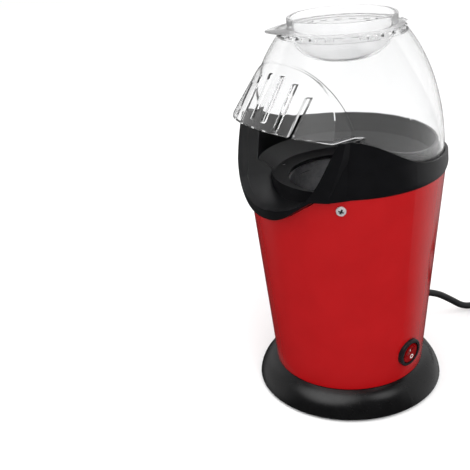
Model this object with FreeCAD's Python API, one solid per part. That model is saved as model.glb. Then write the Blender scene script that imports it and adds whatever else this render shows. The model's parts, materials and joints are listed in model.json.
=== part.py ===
import FreeCAD, Part
import math
import os

# Hot-air popcorn maker. Millimetres, +Z up. The origin is the centre of the ring it stands on,
# the chute faces -Y. Angles called "azimuth" run from -Y towards +X.

V = FreeCAD.Vector
Z_AXIS = V(0, 0, 1)

# ---- driving dimensions ----
WALL = 2.0
GAP = 0.3

# stand
FOOT_IN, FOOT_OUT, FOOT_H = 62.0, 68.0, 2.0
BASE_BOTTOM_R, BASE_TOP_R, BASE_TOP_Z = 74.8, 59.9, 19.4
PLATE_TOP_Z = 4.2
BASE_SCREW_R, BASE_SCREW_AZ = 58.3, (45, 135, 225, 315)
POST_R, POST_AZ = 51.0, (30, 150, 270)
SCREW_CLEAR, SCREW_PILOT = 1.7, 1.4

# tapered body shell
SHELL_Z0, SHELL_Z1 = 19.9, 184.0
SHELL_R0, SHELL_R1 = 59.9, 74.3
SHELL_SLOPE = (SHELL_R1 - SHELL_R0) / (SHELL_Z1 - BASE_TOP_Z)
SHELL_LEAN = 5.0

# collar and chute
# (RIM_LINE and GUARD_LINE are (y, z) points of the tops of the collar and of the ring inside it)
COLLAR_IN, COLLAR_TOP = 73.3, 226.0
RIM_HIGH = 225.0
RIM_LINE = [(80, 193.6), (37.5, 197.4), (13, 200.2), (0, 203.8), (-18, 213.0), (-34, 221.6), (-49, RIM_HIGH)]
GUARD_LINE = [(80, 204.0), (40, 205.0), (0, 208.5), (-18, 214.0), (-34, 220.5), (-49, RIM_HIGH - 2)]
RING_IN, RING_OUT = 66.2, 68.2
LEDGE_Z = 192.4

# chamber, duct and gasket stack
CHAMBER_R, FLANGE_R = 42.0, 53.0
CHAMBER_Z0, FLANGE_Z = 97.0, 173.0
FLANGE_T, GASKET_T = 1.2, 1.0
CHAMBER_SCREW_R, CHAMBER_SCREW_AZ = 51.0, (60, 180, 300)
DUCT_R, DUCT_T = 48.0, 0.8
BRACKET_Z, BRACKET_T = 51.0, 2.5

# motor and fan
MOTOR_R, MOTOR_Z0, MOTOR_Z1 = 14.0, 13.0, 51.0
SHAFT_R, SHAFT_FIT, SHAFT_Z0 = 1.15, 0.05, 10.5
ARMATURE_Z0, ARMATURE_Z1 = 24.0, 42.0
MOTOR_SCREW_R, MOTOR_SCREW_AZ = 8.0, (90, 270)
BOARD_Z = 10.4
FAN_R, FAN_Z0, FAN_Z1 = 42.0, 57.0, 67.0
BLADES, BLADE_PITCH = 8, 55.0

# heater rings: radius and height of each
COIL_RINGS = [(20, 76.5), (27, 81.5), (34, 76.5), (34, 86.5), (20, 86.5)]
COIL_WIRE_R = 2.0

# dome cover and measuring cup
DOME_R, DOME_HALF, DOME_Z0 = 72.8, 112.1, 196.2
DOME_FOOT_Z = LEDGE_Z + 0.2
NECK_Z, NECK_R, NECK_BORE = 283.0, 45.0, 41.0
NOTCHES, NOTCH_AZ, NOTCH_W = 24, 9.0, 5.4
CUP_SEAT_Z, CUP_TOP_Z, CUP_FLOOR_Z = 286.2, 295.0, 264.8
FLANGE_OUT, CUP_FLANGE_T = 43.5, 1.5
TAB_AZ, TAB_TIP = -31.0, 55.5
HOOD_TOP, HOOD_LOW, HOOD_EDGE, HOOD_ARCH = (55.0, 270.0), (81.5, 228.5), 225.6, 230.0

# switch
SWITCH_AZ, SWITCH_Z, SWITCH_ROLL = 98.0, 42.5, 28.0
BEZEL_R, BEZEL_H, BEZEL_SUNK = 11.5, 2.4, 1.2
SWITCH_BODY_R, SWITCH_BORE, SWITCH_DEPTH = 9.9, 9.0, 12.0
ROCKER_R, ROCKER_CROWN, ROCKER_DEPTH, ROCKER_TILT = 8.1, 4.9, 2.6, 7.0
STUB_R, STUB_FIT = 1.0, 0.06

# cord
CORD_D = 6.0
EXIT_Z, EXIT_TILT = 50.0, -20.0
RELIEF_LEN = 26.0
COIL_R, TAIL_LEN = 34.0, 32.0
PLUG_H, PLUG_LEN = 14.0, 36.0
ROUTE = [V(0, 102.0, 35.6), V(0, 121.5, 21.5), V(0, 140.0, 6.8), V(1.5, 160.0, 3.0),
         V(11.0, 178.0, 3.0), V(23.5, 194.0, 3.0)]

# screws that hold the collar to the shell
COLLAR_SCREW_AZ, SCREW_Z = (47.5, -47.5, 180), 176.0


# ---- helpers ----
def polar(radius, azimuth, z=0.0):
    a = math.radians(azimuth)
    return V(radius * math.sin(a), -radius * math.cos(a), z)


def shell_r(z):
    return BASE_TOP_R + SHELL_SLOPE * (z - BASE_TOP_Z)


def turned(points):
    """Solid of revolution about Z of a closed outline given as (r, z) pairs."""
    wire = Part.makePolygon([V(r, 0, z) for r, z in points + points[:1]])
    return Part.Face(wire).revolve(V(0, 0, 0), Z_AXIS, 360)


def turned_path(start, steps):
    """Solid of revolution: steps are (r, z) for a line, (r, z, r, z) for an arc through a point."""
    here, edges = V(start[0], 0, start[1]), []
    for step in steps:
        target = V(step[-2], 0, step[-1])
        if len(step) == 2:
            edges.append(Part.LineSegment(here, target).toShape())
        else:
            edges.append(Part.Arc(here, V(step[0], 0, step[1]), target).toShape())
        here = target
    edges.append(Part.LineSegment(here, V(start[0], 0, start[1])).toShape())
    return Part.Face(Part.Wire(edges)).revolve(V(0, 0, 0), Z_AXIS, 360)


def ring(r_in, r_out, z0, z1):
    solid = Part.makeCylinder(r_out, z1 - z0, V(0, 0, z0))
    if r_in > 0:
        solid = solid.cut(Part.makeCylinder(r_in, z1 - z0, V(0, 0, z0)))
    return solid


def cone(r0, z0, r1, z1):
    return Part.makeCone(r0, r1, z1 - z0, V(0, 0, z0))


def box(x0, x1, y0, y1, z0, z1):
    return Part.makeBox(x1 - x0, y1 - y0, z1 - z0, V(x0, y0, z0))


def around(make, azimuths):
    """One compound of copies of a solid, turned about Z."""
    copies = []
    for azimuth in azimuths:
        solid = make.copy()
        solid.rotate(V(0, 0, 0), Z_AXIS, azimuth)
        copies.append(solid)
    return Part.makeCompound(copies)


def fused(first, *others):
    solid = first.multiFuse(list(others)) if others else first
    return solid.removeSplitter()


def prism_y(wire, y0, y1):
    """A closed XZ outline, drawn at y = 0, as a solid between two y values."""
    face = Part.Face(wire)
    solid = face.extrude(V(0, y1 - y0, 0))
    solid.translate(V(0, y0, 0))
    return solid


def spline_outline(half, z_top):
    """Symmetric XZ outline through a half list of (x, z) points, closed by a flat top."""
    left = [V(-x, 0, z) for x, z in reversed(half) if x > 0]
    right = [V(x, 0, z) for x, z in half]
    curve = Part.BSplineCurve()
    curve.interpolate(left + right)
    x_top, z_end = half[-1]
    corners = [V(x_top, 0, z_end), V(x_top, 0, z_top), V(-x_top, 0, z_top), V(-x_top, 0, z_end)]
    lines = [Part.LineSegment(a, b).toShape() for a, b in zip(corners, corners[1:])]
    return Part.Wire([curve.toShape()] + lines)


def above_line(points):
    """Everything above a line through (y, z) points, listed from the back to the front, level there."""
    far, top = 120.0, 320.0
    path = [V(0, y, z) for y, z in points]
    curve = Part.BSplineCurve()
    curve.interpolate(path, InitialTangent=path[1] - path[0], FinalTangent=V(0, -20, 0))
    corners = [path[-1], V(0, -far, path[-1].z), V(0, -far, top), V(0, path[0].y, top), path[0]]
    lines = [Part.LineSegment(start, end).toShape() for start, end in zip(corners, corners[1:])]
    solid = Part.Face(Part.Wire([curve.toShape()] + lines)).extrude(V(2 * far, 0, 0))
    solid.translate(V(-far, 0, 0))
    return solid


def outward(shape, azimuth, radius, z, tilt=0.0):
    """Place a shape built along +Z so that +Z points out of the body at an azimuth."""
    placed = shape.copy()
    placed.rotate(V(0, 0, 0), V(1, 0, 0), 90 - tilt)
    placed.rotate(V(0, 0, 0), Z_AXIS, azimuth)
    placed.translate(polar(radius, azimuth, z))
    return placed


def pan_screw(head_r, head_h, shank_r, length):
    """Cross-head screw along Z, its head above z = 0 and its shank below."""
    head = Part.makeCylinder(head_r, head_h)
    head = head.makeFillet(head_h * 0.8, [head.Edges[0]])
    cross = [Part.makeBox(head_r * 1.1, 0.9, head_h, V(-head_r * 0.55, -0.45, head_h * 0.45)),
             Part.makeBox(0.9, head_r * 1.1, head_h, V(-0.45, -head_r * 0.55, head_h * 0.45))]
    shank = Part.makeCylinder(shank_r, length, V(0, 0, -length))
    return head.cut(Part.makeCompound(cross)).fuse(shank)


def rounded_path(points):
    """Straight runs joined by tangent arcs, and the arcs' radii."""
    edges, radii = [], []
    here = points[0]
    for before, corner, after in zip(points, points[1:], points[2:]):
        u = (before - corner).normalize()
        w = (after - corner).normalize()
        half_turn = (math.pi - u.getAngle(w)) / 2
        reach = 0.45 * min((before - corner).Length, (after - corner).Length)
        radius = reach / math.tan(half_turn)
        start, end = corner + u * reach, corner + w * reach
        bisector = (u + w).normalize()
        top = corner + bisector * (math.hypot(radius, reach) - radius)
        edges.append(Part.LineSegment(here, start).toShape())
        edges.append(Part.Arc(start, top, end).toShape())
        radii.append(radius)
        here = end
    edges.append(Part.LineSegment(here, points[-1]).toShape())
    return Part.Wire(edges), radii


def tube(points, diameter):
    path, radii = rounded_path(points) if len(points) > 2 else (Part.makePolygon(points), [])
    along = points[1] - points[0]
    section = Part.Wire(Part.makeCircle(diameter / 2, points[0], along))
    solid = path.makePipeShell([section], True, False)
    return solid, path.Length, radii


# ---- stand ----
def foot_ring():
    return ring(FOOT_IN, FOOT_OUT, 0, FOOT_H)


def flare(inset, z0, z1):
    """Convex flared solid of the base, its outline moved in by an inset."""
    low = V(BASE_BOTTOM_R - inset, 0, z0)
    high = V(BASE_TOP_R - inset, 0, z1)
    crown = V((low.x + high.x) / 2 + 2.4, 0, (z0 + z1) / 2 + 2.2)
    edges = [
        Part.Arc(low, crown, high).toShape(),
        Part.LineSegment(high, V(0, 0, z1)).toShape(),
        Part.LineSegment(V(0, 0, z1), V(0, 0, z0)).toShape(),
        Part.LineSegment(V(0, 0, z0), low).toShape(),
    ]
    return Part.Face(Part.Wire(edges)).revolve(V(0, 0, 0), Z_AXIS, 360)


def base_ring():
    outer = flare(0, FOOT_H, BASE_TOP_Z)
    hollow = flare(WALL + 0.4, FOOT_H, BASE_TOP_Z - WALL)
    spigot_r = shell_r(SHELL_Z0) - WALL - 0.1
    wall = outer.cut(hollow).cut(ring(0, spigot_r - WALL, 0, 30))
    spigot = ring(spigot_r - WALL, spigot_r, BASE_TOP_Z - WALL, BASE_TOP_Z + 5)
    boss = Part.makeCylinder(3.6, BASE_TOP_Z - PLATE_TOP_Z - 1, polar(BASE_SCREW_R, 0, PLATE_TOP_Z))
    pilot = Part.makeCylinder(SCREW_PILOT, 10, polar(BASE_SCREW_R, 0, PLATE_TOP_Z))
    bosses = around(boss, BASE_SCREW_AZ).common(outer)
    return fused(wall, spigot, *bosses.Solids).cut(around(pilot, BASE_SCREW_AZ))


def bottom_plate():
    plate_r, grille_r, pitch, slot_half, rib_half = 71.6, 44.0, 6.5, 1.6, 2.0
    plate = ring(0, plate_r, FOOT_H, PLATE_TOP_Z)
    slots = []
    for row in range(-6, 7):
        y = row * pitch
        half = math.sqrt(grille_r ** 2 - y ** 2)
        slots.append(box(-half, -rib_half, y - slot_half, y + slot_half, 0, 10))
        slots.append(box(rib_half, half, y - slot_half, y + slot_half, 0, 10))
    plate = plate.cut(Part.makeCompound(slots))
    screw_holes = around(Part.makeCylinder(SCREW_CLEAR, 10, polar(BASE_SCREW_R, 0)), BASE_SCREW_AZ)
    post_holes = around(Part.makeCylinder(SCREW_CLEAR, 10, polar(POST_R, 0)), POST_AZ)
    return plate.cut(screw_holes).cut(post_holes)


def base_screws():
    screw = pan_screw(3.0, 1.6, 1.4, 9.0)
    screw.rotate(V(0, 0, 0), V(1, 0, 0), 180)
    screw.translate(polar(BASE_SCREW_R, 0, FOOT_H))
    return around(screw, BASE_SCREW_AZ)


def bracket_posts():
    post = Part.makeCylinder(4.0, BRACKET_Z - PLATE_TOP_Z, polar(POST_R, 0, PLATE_TOP_Z))
    depth = 12.0
    pilots = [Part.makeCylinder(SCREW_PILOT, depth, polar(POST_R, 0, PLATE_TOP_Z)),
              Part.makeCylinder(SCREW_PILOT, depth, polar(POST_R, 0, BRACKET_Z - depth))]
    return around(post.cut(Part.makeCompound(pilots)), POST_AZ)


def post_screws():
    low = pan_screw(2.8, 1.5, 1.35, 10.0)
    low.rotate(V(0, 0, 0), V(1, 0, 0), 180)
    low.translate(polar(POST_R, 0, FOOT_H))
    high = pan_screw(2.8, 1.8, 1.35, 10.0)
    high.translate(polar(POST_R, 0, BRACKET_Z + BRACKET_T))
    return around(Part.makeCompound([low, high]), POST_AZ)


# ---- housing ----
def mouth_outline(grow=0.0, z_top=240.0):
    """The chute's U-shaped mouth as seen from the front."""
    half = [(0, 170.5 - grow), (20, 173.4 - grow * 0.97), (37.6 + grow * 0.55, 181.6 - grow * 0.85),
            (46 + grow * 0.85, 192.6 - grow * 0.5), (52.5 + grow * 0.95, 210 - grow * 0.2),
            (57 + grow, 225)]
    return spline_outline(half, z_top)


def lip_outline():
    """The outer edge of the frame round the mouth."""
    half = [(0, 163.0), (17.4, 165.7), (31.5, 174.4), (42, 182.5)]
    low = spline_outline(half, 186.0)
    shoulder = [V(x, 0, z) for x, z in ((-53.2, 184), (53.2, 184), (56.7, 199), (59.2, 214),
                                        (59.8, 225), (-59.8, 225), (-59.2, 214), (-56.7, 199),
                                        (-53.2, 184))]
    return low, Part.makePolygon(shoulder)


def lip_envelope():
    """The turned solid that the frame round the mouth follows."""
    return turned_path((0, 162.5), [(78.2, 162.5), (80.2, 177, 80.8, 193), (79.5, 208, 77.4, RIM_HIGH),
                                    (0, RIM_HIGH)])


def body_shell():
    outer = cone(shell_r(SHELL_Z0), SHELL_Z0, SHELL_R1, SHELL_Z1)
    inner = cone(shell_r(SHELL_Z0) - WALL, SHELL_Z0, SHELL_R1 - WALL, SHELL_Z1)
    shell = outer.cut(inner)
    shell = shell.cut(prism_y(mouth_outline(WALL + GAP), -100, -20))
    recess = Part.makeCylinder(BEZEL_R + 0.1, 20, V(0, 0, -BEZEL_SUNK))
    shell = shell.cut(place_switch(recess))
    switch_hole = place_switch(Part.makeCylinder(SWITCH_BODY_R + 0.1, 30, V(0, 0, -15)))
    cord_hole = outward(Part.makeCylinder(5.1, 30, V(0, 0, -15)), 180, shell_r(EXIT_Z), EXIT_Z,
                        EXIT_TILT)
    screw_hole = outward(Part.makeCylinder(SCREW_CLEAR, 30, V(0, 0, -15)), 0, shell_r(SCREW_Z), SCREW_Z,
                         -SHELL_LEAN)
    return shell.cut(switch_hole).cut(cord_hole).cut(around(screw_hole, COLLAR_SCREW_AZ))


def cheeks():
    """Flat faces that lead from the collar's round side out to the frame of the mouth."""
    z_top = 222.0
    low = [V(x, y, SHELL_Z1) for x, y in ((59.6, -45.8), (53.4, -60.3), (50.0, -48.0), (59.6, -45.8))]
    high = [V(x, y, z_top) for x, y in ((58.0, -47.6), (59.4, -50.4), (55.0, -47.0), (58.0, -47.6))]
    right = Part.makeLoft([Part.makePolygon(low), Part.makePolygon(high)], True, True)
    return [right, right.mirror(V(0, 0, 0), V(1, 0, 0))]


def upper_collar():
    wall = turned_path((COLLAR_IN, SHELL_Z1), [(74.9, SHELL_Z1), (75.7, 186.5, 75.8, 189.5),
                                               (75.4, 196.0, 74.9, 204.0), (74.9, COLLAR_TOP),
                                               (COLLAR_IN, COLLAR_TOP)])
    wall = wall.cut(above_line(RIM_LINE))
    skirt_r = shell_r(179.0) - WALL - GAP
    skirt = ring(skirt_r - WALL, skirt_r, 179.0, 186.0)
    seat = ring(skirt_r - WALL, COLLAR_IN + 0.5, 184.05, 186.0)
    low, high = lip_outline()
    frame = fused(prism_y(low, -100, -40), prism_y(high, -100, -40)).common(lip_envelope())
    frame = fused(frame, *cheeks())
    core = fused(cone(shell_r(160) + 0.05, 160, SHELL_R1 + 0.05, SHELL_Z1),
                 ring(0, COLLAR_IN, SHELL_Z1, 230))
    frame = frame.cut(core)
    boss = outward(Part.makeBox(10, 14, 6, V(-5, -7, -9.5)), 0, shell_r(SCREW_Z), SCREW_Z + 3)
    pilot = outward(Part.makeCylinder(SCREW_PILOT, 12, V(0, 0, -12)), 0, shell_r(SCREW_Z), SCREW_Z,
                    -SHELL_LEAN)
    inside = cone(shell_r(160) - WALL - GAP, 160, SHELL_R1 - WALL - GAP, SHELL_Z1)
    bosses = around(boss, COLLAR_SCREW_AZ).common(inside)
    collar = fused(wall, skirt, seat, *bosses.Solids)
    collar = fused(collar.cut(prism_y(mouth_outline(WALL + 0.1), -100, -20)), frame)
    return collar.cut(prism_y(mouth_outline(), -100, -20)).cut(around(pilot, COLLAR_SCREW_AZ))


def popcorn_chute():
    """Sloping funnel round the chamber, the ring that locates the dome, and the trough."""
    z_in = FLANGE_Z + FLANGE_T + GASKET_T
    step_r, z_step, z_ring = 53.5, z_in + 4.6, 189.2
    lip_r = CHAMBER_R + 1
    funnel = turned([(lip_r, z_in), (step_r, z_in), (step_r, z_in + 2.4), (RING_OUT, z_ring - 1.2),
                     (RING_OUT, RIM_HIGH), (RING_IN, RIM_HIGH), (RING_IN, z_ring), (step_r, z_step),
                     (lip_r, z_in + WALL)])
    funnel = funnel.cut(above_line(GUARD_LINE))
    ledge = turned([(RING_OUT - 0.5, LEDGE_Z - 4), (COLLAR_IN - 0.2, LEDGE_Z - WALL),
                    (COLLAR_IN - 0.2, LEDGE_Z), (RING_OUT - 0.5, LEDGE_Z)])
    mouth = prism_y(mouth_outline(), -100, -20)
    wide_mouth = prism_y(mouth_outline(WALL), -100, -20)
    inner_space = turned([(0, 150), (step_r, 150), (step_r, z_step - 0.6), (RING_IN, z_ring),
                          (RING_IN, 240), (0, 240)])
    outer_space = fused(cone(shell_r(160), 160, SHELL_R1, SHELL_Z1),
                        ring(0, COLLAR_IN - 0.05, SHELL_Z1, RIM_HIGH - 1))
    trough = wide_mouth.cut(mouth).cut(inner_space).common(outer_space)
    back_wall = ring(step_r, step_r + WALL, 168.5, z_step).common(wide_mouth)
    floor_cut = wide_mouth.cut(ring(0, step_r + WALL, 150, 240))
    chute = fused(fused(funnel, ledge).cut(floor_cut), back_wall)
    chute = chute.cut(mouth.cut(ring(0, step_r + WALL, 150, 240)))
    chute = fused(chute, trough)
    pilots = around(Part.makeCylinder(SCREW_PILOT, 6, polar(CHAMBER_SCREW_R, 0, z_in - 1)), CHAMBER_SCREW_AZ)
    return chute.cut(pilots)


def collar_screws():
    screw = outward(pan_screw(4.0, 2.2, 1.4, 9.0), 0, shell_r(SCREW_Z), SCREW_Z, -SHELL_LEAN)
    return around(screw, COLLAR_SCREW_AZ)


# ---- chamber, heater and duct ----
def popping_chamber():
    t = FLANGE_T
    profile = [(0, CHAMBER_Z0), (CHAMBER_R - 6, CHAMBER_Z0), (CHAMBER_R + t, CHAMBER_Z0 + 6),
               (CHAMBER_R + t, FLANGE_Z), (FLANGE_R, FLANGE_Z), (FLANGE_R, FLANGE_Z + t),
               (CHAMBER_R, FLANGE_Z + t), (CHAMBER_R, CHAMBER_Z0 + 6.6), (CHAMBER_R - 6.6, CHAMBER_Z0 + t),
               (0, CHAMBER_Z0 + t)]
    chamber = turned(profile)
    slot = Part.makeBox(3.0, 8.0, 13.0, V(-1.5, -CHAMBER_R - 4, 0))
    slot.rotate(V(0, 0, 6.5), V(0, 1, 0), 28)
    slot.translate(V(0, 0, 106))
    chamber = chamber.cut(around(slot, [i * 15 for i in range(24)]))
    return chamber.cut(chamber_screw_holes())


def chamber_screw_holes():
    hole = Part.makeCylinder(SCREW_CLEAR, 10, polar(CHAMBER_SCREW_R, 0, FLANGE_Z - 5))
    return around(hole, CHAMBER_SCREW_AZ)


def chamber_gasket():
    gasket = ring(CHAMBER_R + 1.5, FLANGE_R, FLANGE_Z + FLANGE_T, FLANGE_Z + FLANGE_T + GASKET_T)
    return gasket.cut(chamber_screw_holes())


def chamber_screws():
    screw = pan_screw(2.6, 1.5, 1.4, 5.5)
    screw.rotate(V(0, 0, 0), V(1, 0, 0), 180)
    screw.translate(polar(CHAMBER_SCREW_R, 0, FLANGE_Z))
    return around(screw, CHAMBER_SCREW_AZ)


def heat_duct():
    duct = ring(DUCT_R - DUCT_T, DUCT_R, BRACKET_Z + BRACKET_T, FLANGE_Z)
    lead_slot = box(-4, 4, 40, 60, 72, 91)
    return duct.cut(lead_slot)


def mica_cross():
    half, z0, z1 = 43.0, 72.0, 92.0
    one = box(-half, half, -0.5, 0.5, z0, z1).cut(box(-0.55, 0.55, -2, 2, z0, (z0 + z1) / 2))
    two = box(-0.5, 0.5, -half, half, z0, z1).cut(box(-2, 2, -0.55, 0.55, (z0 + z1) / 2, z1))
    return Part.makeCompound([one, two]).cut(coil_space(0.4))


def coil_space(clearance):
    rings = [Part.makeTorus(r, COIL_WIRE_R + clearance, V(0, 0, z)) for r, z in COIL_RINGS]
    return Part.makeCompound(rings)


def heater_coil():
    return coil_space(0)


def mica_floor():
    floor = ring(0, DUCT_R - DUCT_T - 0.3, 93.0, 94.0)
    vent = Part.makeCylinder(6, 4, polar(34, 0, 92))
    return floor.cut(around(vent, [i * 45 for i in range(8)]))


def thermostat():
    body = Part.makeCylinder(8, 6.5).fuse(Part.makeCylinder(5, 3, V(0, 0, 6.5)))
    ear = Part.makeBox(24, 6, 1.2, V(-12, -3, 0))
    tabs = [Part.makeBox(5, 0.8, 8, V(x, -0.4, 9)) for x in (-4.6, 1.0)]
    part = body.fuse([ear] + tabs)
    block = outward(part, 150, DUCT_R - 0.2, 140)
    return block.cut(Part.makeCylinder(DUCT_R + 0.05, 200))


def thermal_fuse():
    body = Part.makeCylinder(2.0, 12).fuse([Part.makeCylinder(0.5, 24, V(0, 0, -6))])
    body.rotate(V(0, 0, 0), V(1, 0, 0), 90)
    body.translate(V(10, 24, 90.9))
    return body


# ---- motor and fan ----
def motor_bracket():
    plate = ring(44.0, 49.5, BRACKET_Z, BRACKET_Z + BRACKET_T)
    ear = Part.makeCylinder(4.6, BRACKET_T, polar(POST_R, 0, BRACKET_Z))
    hub = ring(5.2, 17.0, BRACKET_Z, BRACKET_Z + BRACKET_T)
    arm = box(-4, 4, -46, -15, BRACKET_Z, BRACKET_Z + BRACKET_T)
    arms = around(arm, POST_AZ)
    ears = around(ear, POST_AZ)
    bracket = fused(plate, hub, *arms.Solids, *ears.Solids)
    holes = around(Part.makeCylinder(SCREW_CLEAR, 10, polar(POST_R, 0, BRACKET_Z - 2)), POST_AZ)
    motor_holes = around(Part.makeCylinder(1.3, 10, polar(MOTOR_SCREW_R, 0, BRACKET_Z - 2)), MOTOR_SCREW_AZ)
    return bracket.cut(holes).cut(motor_holes)


def motor_can():
    can = ring(MOTOR_R - 1, MOTOR_R, MOTOR_Z0 + 2, MOTOR_Z1)
    lid = ring(3.05, MOTOR_R - 0.5, MOTOR_Z1 - 1.2, MOTOR_Z1)
    can = fused(can, lid)
    return can.cut(around(Part.makeCylinder(1.1, 10, polar(MOTOR_SCREW_R, 0, MOTOR_Z1 - 5)), MOTOR_SCREW_AZ))


def motor_magnets():
    sleeve = ring(10.6, MOTOR_R - 1, 22, 44)
    keep = [box(2.5, 20, -20, 20, 20, 46), box(-20, -2.5, -20, 20, 20, 46)]
    return Part.makeCompound([sleeve.common(half) for half in keep])


def motor_end_cap():
    cap = ring(3.05, MOTOR_R, MOTOR_Z0, MOTOR_Z0 + 2)
    spigot = ring(MOTOR_R - 3, MOTOR_R - 1, MOTOR_Z0 + 1.5, MOTOR_Z0 + 5)
    return fused(cap, spigot)


def motor_bushes():
    top = ring(SHAFT_R + SHAFT_FIT, 3.0, MOTOR_Z1 - 3, MOTOR_Z1 + 1.8)
    low = ring(SHAFT_R + SHAFT_FIT, 3.0, MOTOR_Z0 - 0.8, MOTOR_Z0 + 3)
    return Part.makeCompound([top, low])


def motor_shaft():
    return Part.makeCylinder(SHAFT_R, FAN_Z1 + 2.5 - SHAFT_Z0, V(0, 0, SHAFT_Z0))


def armature():
    z0, z1 = ARMATURE_Z0, ARMATURE_Z1
    arm = box(-1.4, 1.4, -9.0, -2.8, z0, z1)
    shoe = ring(8.0, 9.8, z0, z1).common(box(-6.8, 6.8, -12, -3, z0, z1))
    poles = around(arm.fuse(shoe), (0, 120, 240))
    return fused(ring(SHAFT_R, 3.2, z0, z1), *poles.Solids)


def windings():
    over = 1.4
    pack = box(-3.1, 3.1, -7.2, -4.2, ARMATURE_Z0 - over, ARMATURE_Z1 + over)
    pack = pack.cut(box(-1.4, 1.4, -9, -2, ARMATURE_Z0, ARMATURE_Z1))
    return around(pack, (0, 120, 240))


def commutator():
    return ring(SHAFT_R, 3.0, 17.0, 22.0)


def motor_brushes():
    blade = box(3.1, 4.4, -1.5, 1.5, 18.4, 20.6).fuse(box(4.4, MOTOR_R - 3, -0.3, 0.3, 18.4, 20.6))
    return around(blade, (0, 180))


def motor_screws():
    screw = pan_screw(2.2, 1.4, 1.1, 3.4)
    screw.translate(polar(MOTOR_SCREW_R, 0, BRACKET_Z + BRACKET_T))
    return around(screw, MOTOR_SCREW_AZ)


def fan_impeller():
    hub = ring(SHAFT_R, 7.0, FAN_Z0 - 1, FAN_Z1)
    disc = ring(6.5, 16.0, FAN_Z0 - 1, FAN_Z0 + 0.8)
    blade = box(-1.0, 1.0, -FAN_R, -6.0, -8.0, 8.0)
    blade.rotate(V(0, 0, 0), V(0, 1, 0), BLADE_PITCH)
    blade.translate(V(0, 0, (FAN_Z0 + FAN_Z1) / 2))
    blade = blade.common(ring(5.0, FAN_R, FAN_Z0, FAN_Z1))
    blades = around(blade, [i * 360 / BLADES for i in range(BLADES)])
    fan = fused(hub, disc, *blades.Solids)
    return fan.cut(Part.makeCylinder(SHAFT_R, 40, V(0, 0, 45)))


def rectifier_board():
    board = ring(4.2, 12.5, BOARD_Z - 1.4, BOARD_Z)
    diode = Part.makeCylinder(1.4, 5, V(-2.5, -8.2, BOARD_Z - 2.8), V(1, 0, 0))
    return fused(board, *around(diode, (45, 135, 225, 315)).Solids)


def board_posts():
    post = Part.makeCylinder(1.5, MOTOR_Z0 - BOARD_Z, polar(9.5, 0, BOARD_Z))
    return around(post, (0, 180))


# ---- switch ----
def place_switch(shape):
    """Shapes built along +Z, turned about their own axis and set into the shell's side."""
    rolled = shape.copy()
    rolled.rotate(V(0, 0, 0), Z_AXIS, SWITCH_ROLL)
    return outward(rolled, SWITCH_AZ, shell_r(SWITCH_Z), SWITCH_Z, -SHELL_LEAN)


def switch_housing():
    flange = Part.makeCylinder(BEZEL_R, BEZEL_H + BEZEL_SUNK, V(0, 0, -BEZEL_SUNK))
    rim = [e for e in flange.Edges if e.BoundBox.ZMin > BEZEL_H - 0.01]
    flange = flange.makeFillet(1.1, rim)
    body = Part.makeCylinder(SWITCH_BODY_R, SWITCH_DEPTH, V(0, 0, -SWITCH_DEPTH))
    pocket = Part.makeCylinder(SWITCH_BORE, 40, V(0, 0, 1.8 - SWITCH_DEPTH))
    pivot = Part.makeCylinder(STUB_R + STUB_FIT, 2 * SWITCH_BODY_R + 1,
                              V(-SWITCH_BODY_R - 0.5, 0, -ROCKER_DEPTH), V(1, 0, 0))
    return place_switch(fused(flange, body).cut(pocket).cut(pivot))


def rocker_button():
    """Its face is two flats that meet in a shallow valley; at rest the lower half is pressed in."""
    body = Part.makeCylinder(ROCKER_R, ROCKER_CROWN + 9, V(0, 0, -4.5))
    valley = V(0, 0, ROCKER_CROWN - 0.9)
    keep = Part.makeBox(40, 40, 40, V(-20, -20, valley.z))
    for side in (1, -1):
        air = keep.copy()
        air.translate(V(0, 20 * side, 0))
        air.rotate(valley, V(1, 0, 0), (ROCKER_TILT + 1) * side)
        body = body.cut(air)
    stub = Part.makeCylinder(STUB_R, 2 * SWITCH_BODY_R - 0.4, V(-SWITCH_BODY_R + 0.2, 0, 0), V(1, 0, 0))
    rocker = fused(body, stub)
    rocker.rotate(V(0, 0, 0), V(1, 0, 0), ROCKER_TILT)
    rocker.translate(V(0, 0, -ROCKER_DEPTH))
    return place_switch(rocker)


def switch_terminals():
    blades = [Part.makeBox(4.8, 0.8, 7, V(-2.4, y - 0.4, -7 - SWITCH_DEPTH)) for y in (-5, 0, 5)]
    return place_switch(Part.makeCompound(blades))


# ---- cord ----
def along_exit(shape):
    return outward(shape, 180, shell_r(EXIT_Z), EXIT_Z, EXIT_TILT)


def exit_point(distance):
    tilt = math.radians(EXIT_TILT)
    return V(0, shell_r(EXIT_Z) + distance * math.cos(tilt), EXIT_Z + distance * math.sin(tilt))


def strain_relief():
    sleeve = Part.makeCone(6.4, 4.4, RELIEF_LEN)
    groove = Part.makeCylinder(5.0, 4.5, V(0, 0, -3.6))
    inner = Part.makeCylinder(6.6, 3, V(0, 0, -6.4))
    cuts = []
    for i in range(4):
        z = 6.5 + 4.6 * i
        for side in (0, 180):
            cut = Part.makeBox(20, 6, 1.6, V(-10, 3.4, z))
            cut.rotate(V(0, 0, 0), Z_AXIS, side + 90 * (i % 2))
            cuts.append(cut)
    relief = sleeve.cut(Part.makeCompound(cuts))
    solid_cone = cone(shell_r(0), 0, shell_r(120), 120)
    outside = along_exit(relief.fuse(Part.makeCylinder(6.4, 3, V(0, 0, -3)))).cut(solid_cone)
    return fused(outside, along_exit(groove), along_exit(inner))


def cord_points():
    return [exit_point(RELIEF_LEN)] + ROUTE


def cord_tube():
    solid, length, radii = tube(cord_points(), CORD_D)
    area = math.pi * CORD_D ** 2 / 4
    print("cord_tube length %.1f volume ratio %.4f" % (length, solid.Volume / (area * length)),
          "radii", ["%.0f" % r for r in radii])
    return solid


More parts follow.
